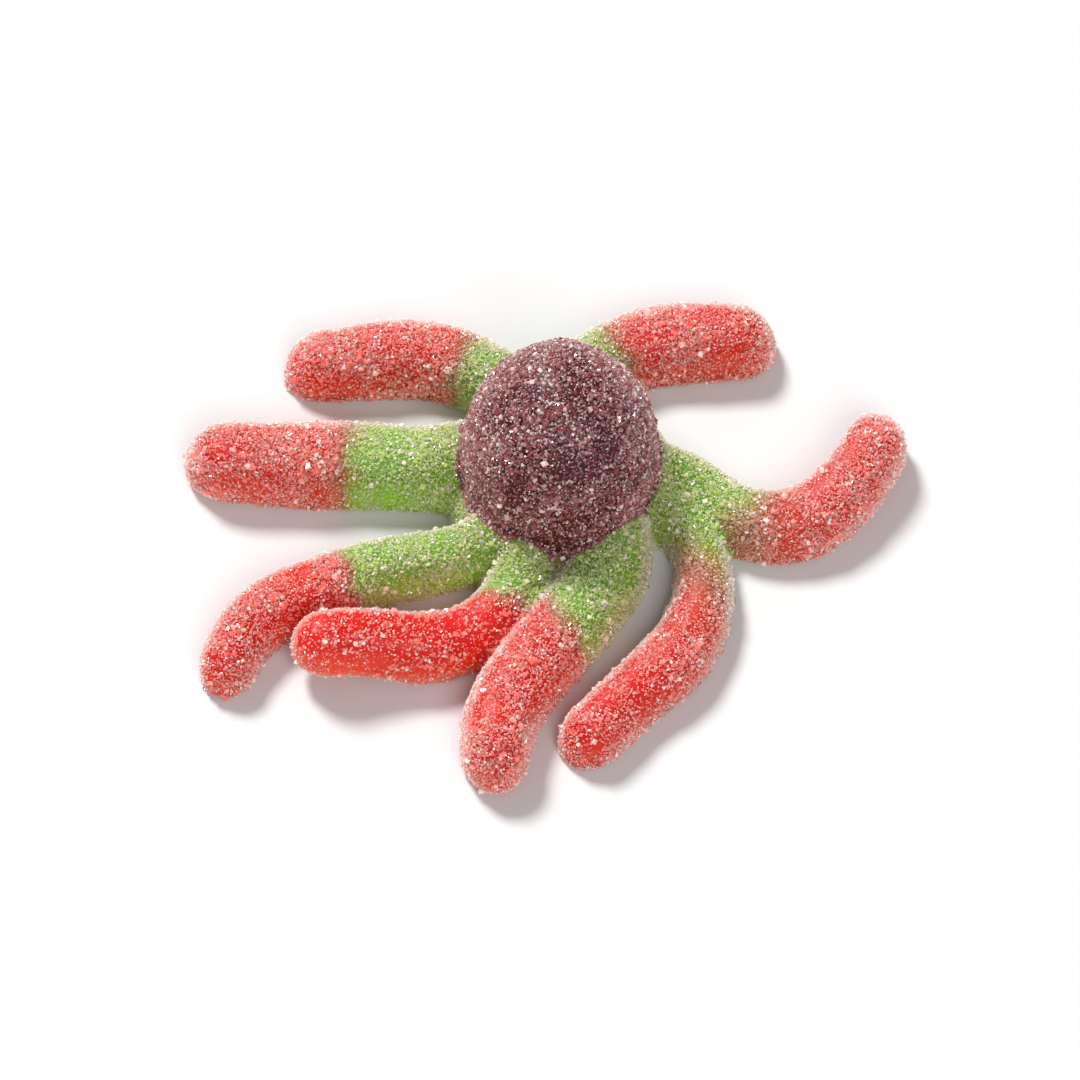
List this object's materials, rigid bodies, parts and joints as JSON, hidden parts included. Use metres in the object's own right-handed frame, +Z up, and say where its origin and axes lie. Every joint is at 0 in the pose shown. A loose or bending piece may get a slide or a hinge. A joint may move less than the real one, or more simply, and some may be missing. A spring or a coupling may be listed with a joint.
{
  "type": "sour gummy octopus",
  "caption": "Soft cast sweet in the shape of an octopus: a round head on a low body, with curved tentacles lying flat round it, coated in sour sugar.",
  "frame": {"origin": "on the flat underside, at the point that the tentacles spread from", "axes": "+Z up through the head, +X to the right as the octopus is seen from its front, -Y towards its front"},
  "size_m": [0.0622, 0.0478, 0.0192],
  "materials": {
    "gum": "soft translucent gum under sugar: dark purple head, green body and inner tentacles, red outer tentacles",
    "sugar": "fine sparkling sour sugar crystals"
  },
  "bodies": {
    "root": {"gummy_octopus": "gum"}
  },
  "joints": []
}
